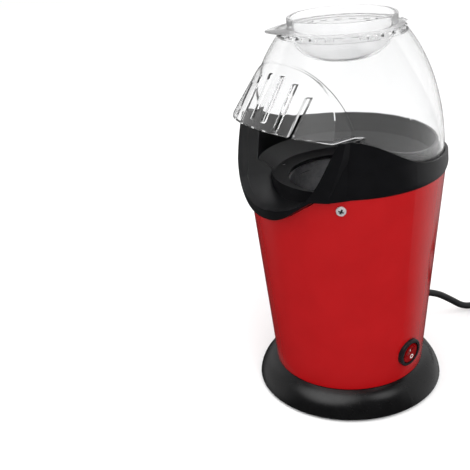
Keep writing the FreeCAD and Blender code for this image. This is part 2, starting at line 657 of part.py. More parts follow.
def coil_frame():
    """Centre of the coil, and the unit vectors of the cord's arrival and of its side."""
    along = (ROUTE[-1] - ROUTE[-2]).normalize()
    side = V(-along.y, along.x, 0)
    centre = ROUTE[-1] + along * 4.0 + side * (COIL_R + CORD_D / 2)
    return V(centre.x, centre.y, 0), along, side


def cord_coil():
    centre, _, _ = coil_frame()
    coil = ring(COIL_R - CORD_D, COIL_R + CORD_D, 0, 2 * CORD_D)
    coil.translate(centre)
    return coil


def tail_points():
    centre, along, side = coil_frame()
    start = centre + along * (COIL_R + CORD_D / 2) + V(0, 0, 1.5 * CORD_D)
    end = start + side * TAIL_LEN
    return [start, V(end.x, end.y, PLUG_H / 2)]


def cord_tail():
    start, end = tail_points()
    solid, length, _ = tube([start + (end - start) * 0.2, end], CORD_D)
    print("cord_tail length %.1f" % length)
    return solid


def inner_wires():
    """Cord to switch, cord to thermostat, and thermostat to heater."""
    routes = [
        [V(1.6, 55.6, 51.6), V(12, 44, 44), V(30, 31, 39), V(42.5, 11.5, 41.5)],
        [V(-1.6, 55.2, 52.8), V(6, 56.5, 68), V(18, 54.5, 100), V(28, 50, 131)],
        [V(23, 52.5, 131), V(14, 54, 112), V(3, 53, 86), V(3, 38, 80)],
    ]
    return Part.makeCompound([tube(route, 1.8)[0] for route in routes])


def place_plug(shape):
    """Shapes built along +Z from the cord's entry, wide along X, set down at the tail's end."""
    _, _, side = coil_frame()
    end = tail_points()[1]
    placed = shape.copy()
    placed.rotate(V(0, 0, 0), V(1, 0, 0), -90)
    placed.rotate(V(0, 0, 0), Z_AXIS, math.degrees(math.atan2(side.y, side.x)) - 90)
    placed.translate(end)
    return placed


def slab(width, height, z):
    """Flat-sided outline with bulging ends, for the plug's sections."""
    x, y = width / 2 - height / 2 + 0.5, height / 2
    low_arc = Part.Arc(V(x, -y, z), V(width / 2, 0, z), V(x, y, z))
    high_arc = Part.Arc(V(-x, y, z), V(-width / 2, 0, z), V(-x, -y, z))
    bottom = Part.LineSegment(V(-x, -y, z), V(x, -y, z))
    top = Part.LineSegment(V(x, y, z), V(-x, y, z))
    return Part.Wire([bottom.toShape(), low_arc.toShape(), top.toShape(), high_arc.toShape()])


def plug_body():
    sections = [slab(12, 9, 0), slab(16, 10, 6), slab(31, PLUG_H, 22), slab(34, PLUG_H, PLUG_LEN)]
    return place_plug(Part.makeLoft(sections, True, True))


def plug_pins():
    pins = []
    for x in (-9.5, 9.5):
        pin = Part.makeCylinder(2.4, 19, V(x, 0, PLUG_LEN))
        pins.append(pin.makeFillet(1.6, [pin.Edges[0]]))
    return place_plug(Part.makeCompound(pins))


# ---- dome cover and cup ----
def dome_solid(inset, z_top):
    half, radius = DOME_HALF - inset, DOME_R - inset
    centre = V(0, 0, DOME_Z0)
    ellipse = Part.Ellipse(centre + V(0, 0, half), centre + V(radius, 0, 0), centre)
    angle = math.acos((z_top - DOME_Z0) / half)
    curve = Part.ArcOfEllipse(ellipse, angle, math.pi / 2).toShape()
    top_r = radius * math.sin(angle)
    corners = [V(radius, 0, DOME_Z0), V(radius, 0, DOME_FOOT_Z), V(0, 0, DOME_FOOT_Z), V(0, 0, z_top),
               V(top_r, 0, z_top)]
    lines = [Part.LineSegment(start, end).toShape() for start, end in zip(corners, corners[1:])]
    return Part.Face(Part.Wire([curve] + lines)).revolve(V(0, 0, 0), Z_AXIS, 360)


def hood_solid(inset, z_low):
    run = math.hypot(HOOD_LOW[0] - HOOD_TOP[0], HOOD_TOP[1] - HOOD_LOW[1])
    dr = inset * (HOOD_TOP[1] - HOOD_LOW[1]) / run
    dz = inset * (HOOD_LOW[0] - HOOD_TOP[0]) / run
    top = (HOOD_TOP[0] - dr, HOOD_TOP[1] - dz)
    low = (HOOD_LOW[0] - dr, HOOD_LOW[1] - dz)
    body = turned([(0, top[1]), top, low, (low[0] + 0.5, HOOD_EDGE), (low[0] + 0.5, z_low), (0, z_low)])
    half = [(0, 270.6 - inset), (25 - inset * 0.4, 266.8 - inset), (43 - inset * 0.8, 254.5 - inset * 0.7),
            (53.4 - inset, 239.5 - inset * 0.3), (58.0 - inset, 227)]
    return body.common(prism_y(spline_outline(half, z_low), -110, 0))


def mouth_clearance():
    """The space over the trough that the cover leaves open, with an arched top."""
    half_w, low = 60.0, DOME_FOOT_Z - 1
    arch = Part.Arc(V(-half_w, 0, HOOD_EDGE), V(0, 0, HOOD_ARCH), V(half_w, 0, HOOD_EDGE)).toShape()
    corners = [V(half_w, 0, HOOD_EDGE), V(half_w, 0, low), V(-half_w, 0, low), V(-half_w, 0, HOOD_EDGE)]
    lines = [Part.LineSegment(start, end).toShape() for start, end in zip(corners, corners[1:])]
    return prism_y(Part.Wire([arch] + lines), -100, -20)


def dome_cover():
    outer = fused(dome_solid(0, NECK_Z), hood_solid(0, HOOD_EDGE))
    inner = fused(dome_solid(WALL, NECK_Z), hood_solid(WALL, DOME_Z0))
    shell = outer.cut(inner).cut(mouth_clearance())
    rim = ring(NECK_BORE, NECK_R, NECK_Z - 0.5, CUP_SEAT_Z)
    notch = box(-NOTCH_W / 2, NOTCH_W / 2, -NECK_R - 2, -FLANGE_OUT + 2, CUP_SEAT_Z - 2, CUP_SEAT_Z + 1)
    rim = rim.cut(around(notch, [NOTCH_AZ + i * 360 / NOTCHES for i in range(NOTCHES)]))
    shell = shell.cut(Part.makeCylinder(NECK_BORE, 40, V(0, 0, NECK_Z - 10)))
    slots = []
    for x, z in ((6.5, 262.5), (19.5, 259.0), (32.5, 252.0)):
        for side in (-1, 1):
            slots.append(box(side * x - 1.75, side * x + 1.75, -100, -40, z - 28, z))
    return fused(shell, rim).cut(Part.makeCompound(slots))


def cup_tab(z):
    """Pointed thumb tab at the front of the cup's flange."""
    side_x, side_y, bulge_x, bulge_y = 26.0, -34.9, 11.5, -47.6
    tip, left, right = V(0, -TAB_TIP, z), V(-side_x, side_y, z), V(side_x, side_y, z)
    edges = [Part.Arc(left, V(-bulge_x, bulge_y, z), tip).toShape(),
             Part.Arc(tip, V(bulge_x, bulge_y, z), right).toShape(),
             Part.LineSegment(right, left).toShape()]
    return Part.Face(Part.Wire(edges)).extrude(V(0, 0, CUP_FLANGE_T))


def cup_ear(z):
    """Round lug opposite the tab, with a small stud."""
    lug = Part.makeCylinder(4.5, CUP_FLANGE_T, V(0, FLANGE_OUT - 1.5, z))
    return lug.fuse(Part.makeCylinder(1.3, CUP_FLANGE_T + 1.6, V(0, FLANGE_OUT - 0.5, z)))


def measuring_cup():
    z, floor = CUP_SEAT_Z + 0.1, CUP_FLOOR_Z
    top = z + CUP_FLANGE_T
    cup = turned_path((0, floor), [
        (15, floor), (29.0, floor + 3.2, 35.4, 277.5), (37.6, z), (FLANGE_OUT, z), (FLANGE_OUT, top),
        (38.6, top), (39.0, CUP_TOP_Z), (37.4, CUP_TOP_Z), (36.9, top), (36.0, z),
        (33.8, 278.0), (27.9, floor + 4.6, 15, floor + 1.6), (0, floor + 1.6)])
    bowl = ring(0, FLANGE_OUT - 2, CUP_SEAT_Z - 5, CUP_SEAT_Z + 10)
    nub = Part.makeCylinder(1.6, 0.9, V(0, 0, floor - 0.7))
    trims = [cup_tab(z).cut(bowl), cup_ear(z).cut(bowl)]
    for piece in trims:
        piece.rotate(V(0, 0, 0), Z_AXIS, TAB_AZ)
    return fused(cup, nub, *trims)


# ---- all the pieces, each written to a file with its function's name ----
PIECES = [
    foot_ring, base_ring, bottom_plate, base_screws, bracket_posts, post_screws,
    body_shell, upper_collar, popcorn_chute, collar_screws,
    popping_chamber, chamber_gasket, chamber_screws, heat_duct, mica_cross, heater_coil, mica_floor,
    thermostat, thermal_fuse, motor_bracket, motor_can, motor_magnets, motor_end_cap, motor_bushes,
    motor_shaft, armature, windings, commutator, motor_brushes, motor_screws, fan_impeller,
    rectifier_board, board_posts, switch_housing, rocker_button, switch_terminals, inner_wires,
    strain_relief, cord_tube, cord_coil, cord_tail, plug_body, plug_pins, dome_cover, measuring_cup,
]

os.makedirs("parts", exist_ok=True)
for make in PIECES:
    shape = make()
    name = make.__name__
    print("%-18s solids %d valid %s volume %.0f" % (name, len(shape.Solids), shape.isValid(), shape.Volume))
    shape.exportStep("parts/%s.step" % name)
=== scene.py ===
import bpy
import bmesh
import json
import math
from mathutils import Matrix, Vector


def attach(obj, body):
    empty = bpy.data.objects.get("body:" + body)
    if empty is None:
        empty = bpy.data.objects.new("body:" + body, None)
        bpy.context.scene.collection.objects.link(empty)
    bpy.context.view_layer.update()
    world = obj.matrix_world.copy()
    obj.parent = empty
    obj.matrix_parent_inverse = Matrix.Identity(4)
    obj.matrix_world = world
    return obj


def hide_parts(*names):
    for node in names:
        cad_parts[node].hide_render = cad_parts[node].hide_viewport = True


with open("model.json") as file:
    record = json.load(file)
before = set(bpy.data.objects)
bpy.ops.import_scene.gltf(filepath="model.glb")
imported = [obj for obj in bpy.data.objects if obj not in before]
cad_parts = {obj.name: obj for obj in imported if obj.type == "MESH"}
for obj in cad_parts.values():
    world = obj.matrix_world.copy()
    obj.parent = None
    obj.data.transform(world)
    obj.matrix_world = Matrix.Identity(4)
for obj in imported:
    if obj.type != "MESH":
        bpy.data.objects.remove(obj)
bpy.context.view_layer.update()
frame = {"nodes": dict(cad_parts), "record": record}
MM = 0.001

# ---------------------------------------------------------------- camera
# The photograph's viewpoint: the chute points about fifty degrees to the left of the camera.
CAMERA_AT = Vector((0.4372, -0.3669, 0.3871))
LOOK = Vector((-0.7798, 0.4717, -0.4115))
UP = Vector((-0.3071, 0.2846, 0.9081))
LENS, SENSOR = 60.33, 36.0
NEAREST_SEEN = 0.01


def add_camera():
    data = bpy.data.cameras.new("photo_camera")
    data.lens = LENS
    data.sensor_width = SENSOR
    data.clip_start = NEAREST_SEEN
    camera = bpy.data.objects.new("photo_camera", data)
    right = LOOK.cross(UP).normalized()
    up = right.cross(LOOK).normalized()
    turn = Matrix((right, up, -LOOK.normalized())).transposed()
    camera.matrix_world = Matrix.Translation(CAMERA_AT) @ turn.to_4x4()
    bpy.context.scene.collection.objects.link(camera)
    bpy.context.scene.camera = camera


add_camera()

# ---------------------------------------------------------------- cord
# The route is the one that the part's source uses, in millimetres; the coil and the tail follow from it.
CORD_D = 0.006
RELIEF_END = Vector((0, 0.08701, 0.04111))
ROUTE = [Vector(p) * MM for p in (
    (0, 102.0, 35.6), (0, 121.5, 21.5), (0, 140.0, 6.8), (1.5, 160.0, 3.0),
    (11.0, 178.0, 3.0), (23.5, 194.0, 3.0))]
COIL_R = 0.034
COIL_TURNS = 4.25
COIL_STEPS = 18
COIL_LEAD = 0.004
# The turns at which the cord starts to move in, to climb and to move out, and how long each takes.
MOVE_IN, CLIMB, MOVE_OUT, MOVE_TIME = 0.7, 1.7, 2.7, 0.6
TAIL = 0.032
PLUG_MIDDLE = 0.007


def smooth_step(t):
    """0 below 0 and 1 above 1, with an even S between them."""
    t = min(max(t, 0.0), 1.0)
    return t * t * (3 - 2 * t)


def coil_points():
    """Two turns side by side on the floor, then two on top of them, one cord's width apart."""
    along = (ROUTE[-1] - ROUTE[-2]).normalized()
    side = Vector((-along.y, along.x, 0))
    centre = ROUTE[-1] + along * COIL_LEAD + side * (COIL_R + CORD_D / 2)
    start = math.atan2(-side.y, -side.x)
    points = []
    for i in range(int(COIL_TURNS * COIL_STEPS) + 1):
        turn = i / COIL_STEPS
        angle = start + 2 * math.pi * turn
        inward = smooth_step((turn - MOVE_IN) / MOVE_TIME) - smooth_step((turn - MOVE_OUT) / MOVE_TIME)
        radius = COIL_R + CORD_D * (0.5 - inward)
        height = CORD_D * (0.5 + smooth_step((turn - CLIMB) / MOVE_TIME))
        x, y = centre.x + radius * math.cos(angle), centre.y + radius * math.sin(angle)
        points.append(Vector((x, y, height)))
    end = centre + along * (COIL_R + CORD_D / 2) + side * TAIL
    return points, Vector((end.x, end.y, PLUG_MIDDLE))


def cord_curve(name, points, thickness):
    """A smooth round cord with the route's points as its control points."""
    curve = bpy.data.curves.new(name, "CURVE")
    curve.dimensions = "3D"
    curve.bevel_depth = thickness / 2
    curve.bevel_resolution = 6
    curve.resolution_u = 8
    curve.use_fill_caps = True
    spline = curve.splines.new("NURBS")
    spline.points.add(len(points) - 1)
    for point, target in zip(spline.points, points):
        point.co = (target.x, target.y, target.z, 1.0)
    spline.order_u = 3
    spline.use_endpoint_u = True
    cord = bpy.data.objects.new(name, curve)
    bpy.context.scene.collection.objects.link(cord)
    return cord


# ---------------------------------------------------------------- materials
# Where most of a noise texture's values lie, for a number and for a blend of two colours.
NOISE_BAND = (0.3, 0.7)
COLOUR_BAND = (0.35, 0.65)
# Blender's Mix node keeps a row of sockets for each kind of value; these are the colour ones.
MIX_COLOUR_A, MIX_COLOUR_B, MIX_COLOUR_OUT = 6, 7, 2


def new_material(name, **sockets):
    """A material with one Principled shader; sockets are its inputs' names with _ for spaces."""
    material = bpy.data.materials.new(name)
    material.use_nodes = True
    shader = material.node_tree.nodes["Principled BSDF"]
    for key, value in sockets.items():
        shader.inputs[key.replace("_", " ")].default_value = value
    return material, material.node_tree, shader


def noise(tree, scale, detail=3.0, stretch=(1, 1, 1)):
    """Noise in the object's own coordinates; scale is in features per metre."""
    place = tree.nodes.new("ShaderNodeTexCoord")
    mapping = tree.nodes.new("ShaderNodeMapping")
    mapping.inputs["Scale"].default_value = stretch
    tree.links.new(place.outputs["Object"], mapping.inputs["Vector"])
    texture = tree.nodes.new("ShaderNodeTexNoise")
    texture.inputs["Scale"].default_value = scale
    texture.inputs["Detail"].default_value = detail
    tree.links.new(mapping.outputs["Vector"], texture.inputs["Vector"])
    return texture.outputs["Fac"]


def spread(tree, value, low, high):
    """Noise's middle band mapped onto a range."""
    node = tree.nodes.new("ShaderNodeMapRange")
    node.inputs["From Min"].default_value, node.inputs["From Max"].default_value = NOISE_BAND
    node.inputs["To Min"].default_value = low
    node.inputs["To Max"].default_value = high
    tree.links.new(value, node.inputs["Value"])
    return node.outputs["Result"]


def vary_colour(tree, shader, value, dark, light):
    """The base colour wanders between two shades."""
    ramp = tree.nodes.new("ShaderNodeValToRGB")
    for stop, place, shade in zip(ramp.color_ramp.elements, COLOUR_BAND, (dark, light)):
        stop.position = place
        stop.color = (*shade, 1)
    tree.links.new(value, ramp.inputs["Fac"])
    tree.links.new(ramp.outputs["Color"], shader.inputs["Base Color"])


def bump(tree, shader, value, height):
    """Noise as relief, its full range worth a height in metres."""
    node = tree.nodes.new("ShaderNodeBump")
    node.inputs["Distance"].default_value = height
    tree.links.new(value, node.inputs["Height"])
    tree.links.new(node.outputs["Normal"], shader.inputs["Normal"])


def red_gloss():
    """Glossy moulding: an even colour, a thin clear coat and a faint long-wave unevenness."""
    material, tree, shader = new_material("red_gloss", Coat_Weight=0.35, Coat_Roughness=0.05,
                                          Specular_IOR_Level=0.35)
    vary_colour(tree, shader, noise(tree, 45, 2), (0.312, 0.0030, 0.0044), (0.334, 0.0036, 0.0052))
    tree.links.new(spread(tree, noise(tree, 700, 4), 0.17, 0.23), shader.inputs["Roughness"])
    bump(tree, shader, noise(tree, 60, 2), 0.00004)
    return material


def moulded(name, dark, light, rough, grain=1500, height=0.00001, level=0.3):
    """Injection-moulded plastic: a fine even grain and slightly uneven sheen."""
    material, tree, shader = new_material(name, Specular_IOR_Level=level)
    vary_colour(tree, shader, noise(tree, 90, 3), dark, light)
    tree.links.new(spread(tree, noise(tree, 250, 4), *rough), shader.inputs["Roughness"])
    bump(tree, shader, noise(tree, grain, 2), height)
    return material


def clear(name, tint, rough, ior=1.36, haze=0.0):
    """Clear moulding with a faint flow ripple; haze is the part of the light that it scatters."""
    material, tree, shader = new_material(name, Base_Color=(*tint, 1), IOR=ior,
                                          Transmission_Weight=1.0 - haze)
    tree.links.new(spread(tree, noise(tree, 300, 4), *rough), shader.inputs["Roughness"])
    bump(tree, shader, noise(tree, 40, 1), 0.00002)
    return material


def metal(name, dark, light, rough, stretch=(1, 1, 1), grain=900, metallic=1.0):
    """Bare or plated metal, its grain drawn out along an axis by a small stretch."""
    material, tree, shader = new_material(name, Metallic=metallic)
    vary_colour(tree, shader, noise(tree, 300, 3), dark, light)
    tree.links.new(spread(tree, noise(tree, grain, 4, stretch), *rough), shader.inputs["Roughness"])
    bump(tree, shader, noise(tree, grain, 3, stretch), 0.00002)
    return material


# Painted shade: the dark colour given to the bottom of each screw's cross, standing in for the shade inside
# the recess.
PAINTED_SHADE_COLOUR = (0.040, 0.043, 0.043, 1)


def screw_metal():
    """Bright zinc, with painted shade: dark where the mesh's "recess" value says that a driver's cross is
    cut, for the shade that falls inside the cross.
    """
    material = metal("bright_zinc_painted_cross_shade", (0.70, 0.70, 0.72), (0.88, 0.88, 0.89), (0.18, 0.30), metallic=0.6)
    tree = material.node_tree
    shader = tree.nodes["Principled BSDF"]
    bright = shader.inputs["Base Color"].links[0].from_socket
    recess = tree.nodes.new("ShaderNodeAttribute")
    recess.attribute_name = "recess"
    blend = tree.nodes.new("ShaderNodeMix")
    blend.data_type = "RGBA"
    tree.links.new(recess.outputs["Fac"], blend.inputs["Factor"])
    tree.links.new(bright, blend.inputs[MIX_COLOUR_A])
    blend.inputs[MIX_COLOUR_B].default_value = PAINTED_SHADE_COLOUR
    tree.links.new(blend.outputs[MIX_COLOUR_OUT], shader.inputs["Base Color"])
    return material


# One material for each of the record's slots: the darker and the lighter shade, and the roughness.
MATERIALS = {
    "red_shell": red_gloss(),
    "black_housing": moulded("black_satin", (0.0028, 0.0028, 0.0036), (0.0038, 0.0038, 0.0048),
                             (0.30, 0.36), level=0.45),
    "black_base": moulded("black_semi_gloss", (0.0028, 0.0028, 0.0031), (0.0038, 0.0038, 0.0041),
                          (0.22, 0.28), level=0.45),
    "soft_rubber": moulded("rubber", (0.012, 0.012, 0.012), (0.02, 0.02, 0.02), (0.6, 0.75)),
    "cord_jacket": moulded("cord_jacket", (0.008, 0.008, 0.009), (0.012, 0.012, 0.013), (0.32, 0.42)),
    "screw_steel": screw_metal(),
    "plated_steel": metal("plated_steel", (0.50, 0.50, 0.51), (0.60, 0.60, 0.61), (0.30, 0.42)),
    "chamber_aluminium": metal("spun_aluminium", (0.66, 0.66, 0.67), (0.78, 0.78, 0.79), (0.26, 0.40),
                               stretch=(0.05, 0.05, 1)),
    "mica": moulded("mica", (0.42, 0.36, 0.26), (0.58, 0.52, 0.40), (0.35, 0.55)),
    "heater_wire": metal("heater_wire", (0.20, 0.19, 0.18), (0.34, 0.32, 0.31), (0.40, 0.60)),
    "white_plastic": moulded("white_plastic", (0.72, 0.71, 0.68), (0.80, 0.79, 0.76), (0.45, 0.55)),
    "magnet": moulded("ferrite", (0.04, 0.04, 0.045), (0.07, 0.07, 0.075), (0.55, 0.7)),
    "brass": metal("brass", (0.62, 0.47, 0.22), (0.74, 0.58, 0.30), (0.25, 0.38)),
    "copper": metal("enamelled_copper", (0.50, 0.20, 0.08), (0.64, 0.28, 0.12), (0.25, 0.38)),
    "core_steel": metal("laminated_steel", (0.30, 0.30, 0.31), (0.42, 0.42, 0.43), (0.40, 0.55),
                        stretch=(1, 1, 8)),
    "circuit_board": moulded("circuit_board", (0.05, 0.13, 0.05), (0.08, 0.18, 0.07), (0.35, 0.5)),
    "switch_black": moulded("switch_black", (0.008, 0.008, 0.009), (0.011, 0.011, 0.012), (0.22, 0.30)),
    "switch_red": moulded("switch_red", (0.150, 0.0008, 0.0014), (0.185, 0.0012, 0.0020), (0.10, 0.16),
                          height=0.000002, level=0.15),
    "clear_cover": clear("clear_polycarbonate", (0.990, 0.991, 0.993), (0.01, 0.03), haze=0.03),
    "clear_cup": clear("clear_cup_plastic", (0.988, 0.989, 0.992), (0.01, 0.03), ior=1.27, haze=0.15),
}


def paint_cad_nodes():
    for part in frame["record"]["subparts"]:
        node = frame["nodes"][part["node"]]
        node.data.materials.clear()
        node.data.materials.append(MATERIALS[part["material_slot"]])


paint_cad_nodes()


def finish_piece(piece, body, slot, *nodes):
    """Material, body and the CAD nodes that a piece stands for."""
    piece.data.materials.clear()
    piece.data.materials.append(MATERIALS[slot])
    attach(piece, body)
    if nodes:
        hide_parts(*nodes)
    return piece


SHARP_FROM = math.radians(35)


def new_piece(name, shape):
    """An object from a bmesh, smooth where its faces meet gently."""
    mesh = bpy.data.meshes.new(name)
    bmesh.ops.recalc_face_normals(shape, faces=shape.faces)
    shape.to_mesh(mesh)
    shape.free()
    mesh.shade_smooth()
    mesh.set_sharp_from_angle(angle=SHARP_FROM)
    piece = bpy.data.objects.new(name, mesh)
    bpy.context.scene.collection.objects.link(piece)
    return piece


def skin_rings(shape, rings, closed_ends=True):
    """Quads between rings of points, with an n-gon over each end."""
    loops = [[shape.verts.new(point) for point in ring] for ring in rings]
    for low, high in zip(loops, loops[1:]):
        for i, corner in enumerate(low):
            after = (i + 1) % len(low)
            shape.faces.new((corner, low[after], high[after], high[i]))
    if closed_ends:
        shape.faces.new(loops[0])
        shape.faces.new(loops[-1])


# ---------------------------------------------------------------- red shell
# Height and outer radius at the shell's foot and top, and its lean in degrees.
SHELL_FOOT, SHELL_TOP = (0.0194, 0.0599), (0.1840, 0.0743)
SHELL_LEAN = 5.0


def on_shell(azimuth, z):
    """A frame on the shell's outside, its +Z pointing out and its +Y up the shell."""
    (low, low_r), (high, high_r) = SHELL_FOOT, SHELL_TOP
    radius = low_r + (high_r - low_r) * (z - low) / (high - low)
    a = math.radians(azimuth)
    return (Matrix.Translation((radius * math.sin(a), -radius * math.cos(a), z)) @ Matrix.Rotation(a, 4, "Z")
            @ Matrix.Rotation(math.radians(90 + SHELL_LEAN), 4, "X"))


# ---------------------------------------------------------------- switch marks
# Where the switch sits in the shell and how it is turned there, with angles in degrees.
SWITCH_AZ, SWITCH_Z, SWITCH_ROLL = 98.0, 0.0425, 28.0
# The rocker's tilt at rest and its pivot's depth, its face's middle above that, and each half's slope.
ROCKER_TILT, ROCKER_DEPTH, VALLEY, FACET = 7.0, 0.0026, 0.0040, 8.0
# How far the marks stand off the face, their thickness, and their distance from its middle.
MARK_LIFT, MARK_THICK, MARK_AT = 0.00004, 0.00012, 0.0047
BAR_W, BAR_H = 0.0006, 0.0034
RING_OUT, RING_IN = 0.0018, 0.00125


def facet_frame(side):
    """The middle of the rocker's upper (side 1) or lower (side -1) face."""
    switch = on_shell(SWITCH_AZ, SWITCH_Z) @ Matrix.Rotation(math.radians(SWITCH_ROLL), 4, "Z")
    rocker = Matrix.Translation((0, 0, -ROCKER_DEPTH)) @ Matrix.Rotation(math.radians(ROCKER_TILT), 4, "X")
    valley = Matrix.Translation((0, 0, VALLEY)) @ Matrix.Rotation(math.radians(FACET * side), 4, "X")
    return switch @ rocker @ valley @ Matrix.Translation((0, MARK_AT * side, MARK_LIFT))


def rounded_bar(width, height, z, steps=6):
    """An upright bar's outline at a height, with a half circle at each end."""
    radius = width / 2
    points = []
    for end, start in ((1, 0.0), (-1, math.pi)):
        middle = end * (height / 2 - radius)
        for i in range(steps + 1):
            angle = start + math.pi * i / steps
            points.append(Vector((radius * math.cos(angle), middle + radius * math.sin(angle), z)))
    return points


def circle(radius, z, count=32):
    angles = [2 * math.pi * i / count for i in range(count)]
    return [Vector((radius * math.cos(angle), radius * math.sin(angle), z)) for angle in angles]


def rocker_marks():
    """The raised bar and ring that say on and off."""
    bar = bmesh.new()
    skin_rings(bar, [rounded_bar(BAR_W, BAR_H, 0), rounded_bar(BAR_W, BAR_H, MARK_THICK)])
    bmesh.ops.transform(bar, matrix=facet_frame(1), verts=bar.verts)
    finish_piece(new_piece("mark_on", bar), "rocker", "white_plastic")
    loop = bmesh.new()
    section = [(RING_IN, 0), (RING_OUT, 0), (RING_OUT, MARK_THICK), (RING_IN, MARK_THICK), (RING_IN, 0)]
    skin_rings(loop, [circle(radius, z) for radius, z in section], closed_ends=False)
    bmesh.ops.remove_doubles(loop, verts=loop.verts, dist=1e-7)
    bmesh.ops.transform(loop, matrix=facet_frame(-1), verts=loop.verts)
    finish_piece(new_piece("mark_off", loop), "rocker", "white_plastic")


rocker_marks()


# ---------------------------------------------------------------- collar screws
COLLAR_SCREW_AZ, SCREW_Z = (47.5, -47.5, 180.0), 0.176
CROSS_TURN = 20.0
HEAD_R, HEAD_H, HEAD_EDGE = 0.0036, 0.0021, 0.0007
HEAD_AROUND, HEAD_STEPS = 96, 26
CROSS_HALF, CROSS_REACH, CROSS_DEPTH = 0.00050, 0.0024, 0.0017
# The slots' sides slope over this width, and their floors rise over this share of their reach.
CROSS_SLOPE, CROSS_RUN_OUT = 0.00022, 0.45


def recess_depth(x, y):
    """How deep the cross recess is at a point of the screw's head: two crossed slots that taper."""
    depth = 0.0
    for along, across in ((abs(x), abs(y)), (abs(y), abs(x))):
        side = 1 - smooth_step((across - CROSS_HALF) / CROSS_SLOPE)
        reach = 1 - smooth_step((along / CROSS_REACH - 1 + CROSS_RUN_OUT) / CROSS_RUN_OUT)
        depth = max(depth, side * reach)
    return depth * CROSS_DEPTH


def add_screw_head(shape, azimuth):
    """A domed head with a cross recess, its axis square to the leaning shell."""
    rings = [circle(HEAD_R, 0.0, HEAD_AROUND)]
    for i in range(HEAD_STEPS + 1):
        radius = HEAD_R * (1 - i / (HEAD_STEPS + 0.5))
        dome = HEAD_EDGE + (HEAD_H - HEAD_EDGE) * math.sqrt(max(0.0, 1 - (radius / HEAD_R) ** 2))
        ring = circle(radius, dome, HEAD_AROUND)
        rings.append([Vector((p.x, p.y, p.z - recess_depth(p.x, p.y))) for p in ring])
    depth = shape.verts.layers.float["recess"]
    first = len(shape.verts)
    skin_rings(shape, rings)
    shape.verts.ensure_lookup_table()
    head = shape.verts[first:]
    # The recess's depth on each corner is the mask for the painted shade in the cross.
    for corner in head:
        corner[depth] = recess_depth(corner.co.x, corner.co.y) / CROSS_DEPTH
    twist = Matrix.Rotation(math.radians(CROSS_TURN + azimuth), 4, "Z")
    bmesh.ops.transform(shape, matrix=on_shell(azimuth, SCREW_Z) @ twist, verts=head)


def collar_screws():
    """The heads of the three screws; the vertex value "recess" is 1 at the bottom of a cross and marks where
    the screws' material paints shade.
    """
    heads = bmesh.new()
    heads.verts.layers.float.new("recess")
    for azimuth in COLLAR_SCREW_AZ:
        add_screw_head(heads, azimuth)
    finish_piece(new_piece("collar_screw_heads", heads), "housing", "screw_steel", "collar_screws")


collar_screws()


# ---------------------------------------------------------------- measuring cup
SEAT_Z, FLANGE_R, FLANGE_T = 0.2863, 0.0435, 0.0016
CUP_TOP, CUP_FLOOR, CUP_WALL = 0.2950, 0.2648, 0.0016
RIM_OUT, RIM_IN, RIM_ROUND = 0.0390, 0.0366, 0.0008
BOWL_R, BOWL_FLOOR_R, BOWL_NECK_R = 0.0370, 0.0150, 0.0380
# The little gate mark under the floor: its radii and height.
GATE_TOP_R, GATE_R, GATE_H = 0.0018, 0.0016, 0.0007
# The tab's azimuth, reach, half spread and blunt tip, with angles in degrees, and how it tapers.
TAB_AZ, TAB_REACH, TAB_SPREAD, TAB_BLUNT, TAB_TAPER = -31.0, 0.0120, 37.0, 1.6, 1.5
EAR_R, EAR_AT = 0.0045, 0.0420
STUD_R, STUD_H, STUD_SUNK = 0.0013, 0.0016, 0.0003
STUD_AT = FLANGE_R - 0.0005
CUP_STEPS = 360


def flange_radius(azimuth):
    """The flange is round but for a pointed thumb tab and, opposite it, a small round lug."""
    off = (azimuth - TAB_AZ + 180) % 360 - 180
    blunt = math.hypot(off, TAB_BLUNT)
    radius = FLANGE_R
    if blunt < TAB_SPREAD:
        radius += TAB_REACH * (1 - blunt / TAB_SPREAD) ** TAB_TAPER
    away = math.radians((off + 360) % 360 - 180)
    across = EAR_AT * math.sin(away)
    if abs(across) < EAR_R and math.cos(away) > 0:
        radius = max(radius, EAR_AT * math.cos(away) + math.sqrt(EAR_R ** 2 - across ** 2))
    return radius


def bend(radius, z, size, start, end, steps=5):
    """Points of a rounded corner about (radius, z), from one angle to another in degrees."""
    angles = [math.radians(start + (end - start) * i / steps) for i in range(steps + 1)]
    return [(radius + size * math.cos(a), z + size * math.sin(a)) for a in angles]


def bowl_side(offset, steps=10):
    """The bowl's side from its floor up to the seat: a quarter of an ellipse, moved in by a wall."""
    swell, rise = BOWL_R - offset - BOWL_FLOOR_R, SEAT_Z - CUP_FLOOR - offset
    angles = [math.pi / 2 * i / steps for i in range(steps + 1)]
    return [(BOWL_FLOOR_R + swell * math.sin(a), SEAT_Z - rise * math.cos(a)) for a in angles]


def cup_profile(flange):
    """Radius and height round the cup's wall, from under the floor's middle back to its top."""
    edge, size = FLANGE_T / 2, RIM_ROUND
    points = [(GATE_R, CUP_FLOOR - GATE_H), (GATE_TOP_R, CUP_FLOOR)]
    points += bowl_side(0.0)
    points += [(BOWL_NECK_R, SEAT_Z)]
    points += bend(flange - edge, SEAT_Z + edge, edge, -90, 90)
    points += bend(RIM_OUT + size, SEAT_Z + FLANGE_T + size, size, 270, 180, 3)
    points += bend(RIM_OUT - size, CUP_TOP - size, size, 0, 90, 4)
    points += bend(RIM_IN + size, CUP_TOP - size, size, 90, 180, 4)
    points += list(reversed(bowl_side(CUP_WALL)))
    return points


def cup_point(radius, z, azimuth):
    """A point about the machine's axis; azimuth runs in degrees from -Y towards +X."""
    a = math.radians(azimuth)
    return Vector((radius * math.sin(a), -radius * math.cos(a), z))


